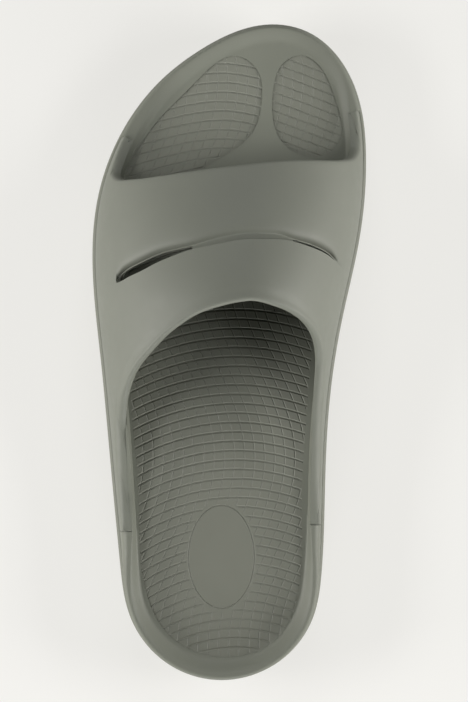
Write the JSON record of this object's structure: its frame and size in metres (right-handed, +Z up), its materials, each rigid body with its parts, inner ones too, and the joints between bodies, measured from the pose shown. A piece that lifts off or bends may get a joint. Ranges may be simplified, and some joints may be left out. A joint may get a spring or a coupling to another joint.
{
  "type": "slipper",
  "caption": "Open-toe, open-heel slide for the left foot: moulded foam sole with a cupped, ribbed footbed and a hollow band over the instep with a curved slit.",
  "frame": {"origin": "on the floor, under the middle of the slide's box", "axes": "+Y from heel to toe, +X to the inner side of the foot, +Z up from the floor"},
  "size_m": [0.1208, 0.288, 0.0876],
  "materials": {
    "foam": "matt closed-cell foam, olive grey",
    "footbed_foam": "matt closed-cell foam with fine moulded ribs, olive grey"
  },
  "bodies": {
    "root": {"sole": "foam", "upper": "foam", "insole": "footbed_foam", "toe_pad_lateral": "footbed_foam", "toe_pad_medial": "footbed_foam"}
  },
  "joints": []
}
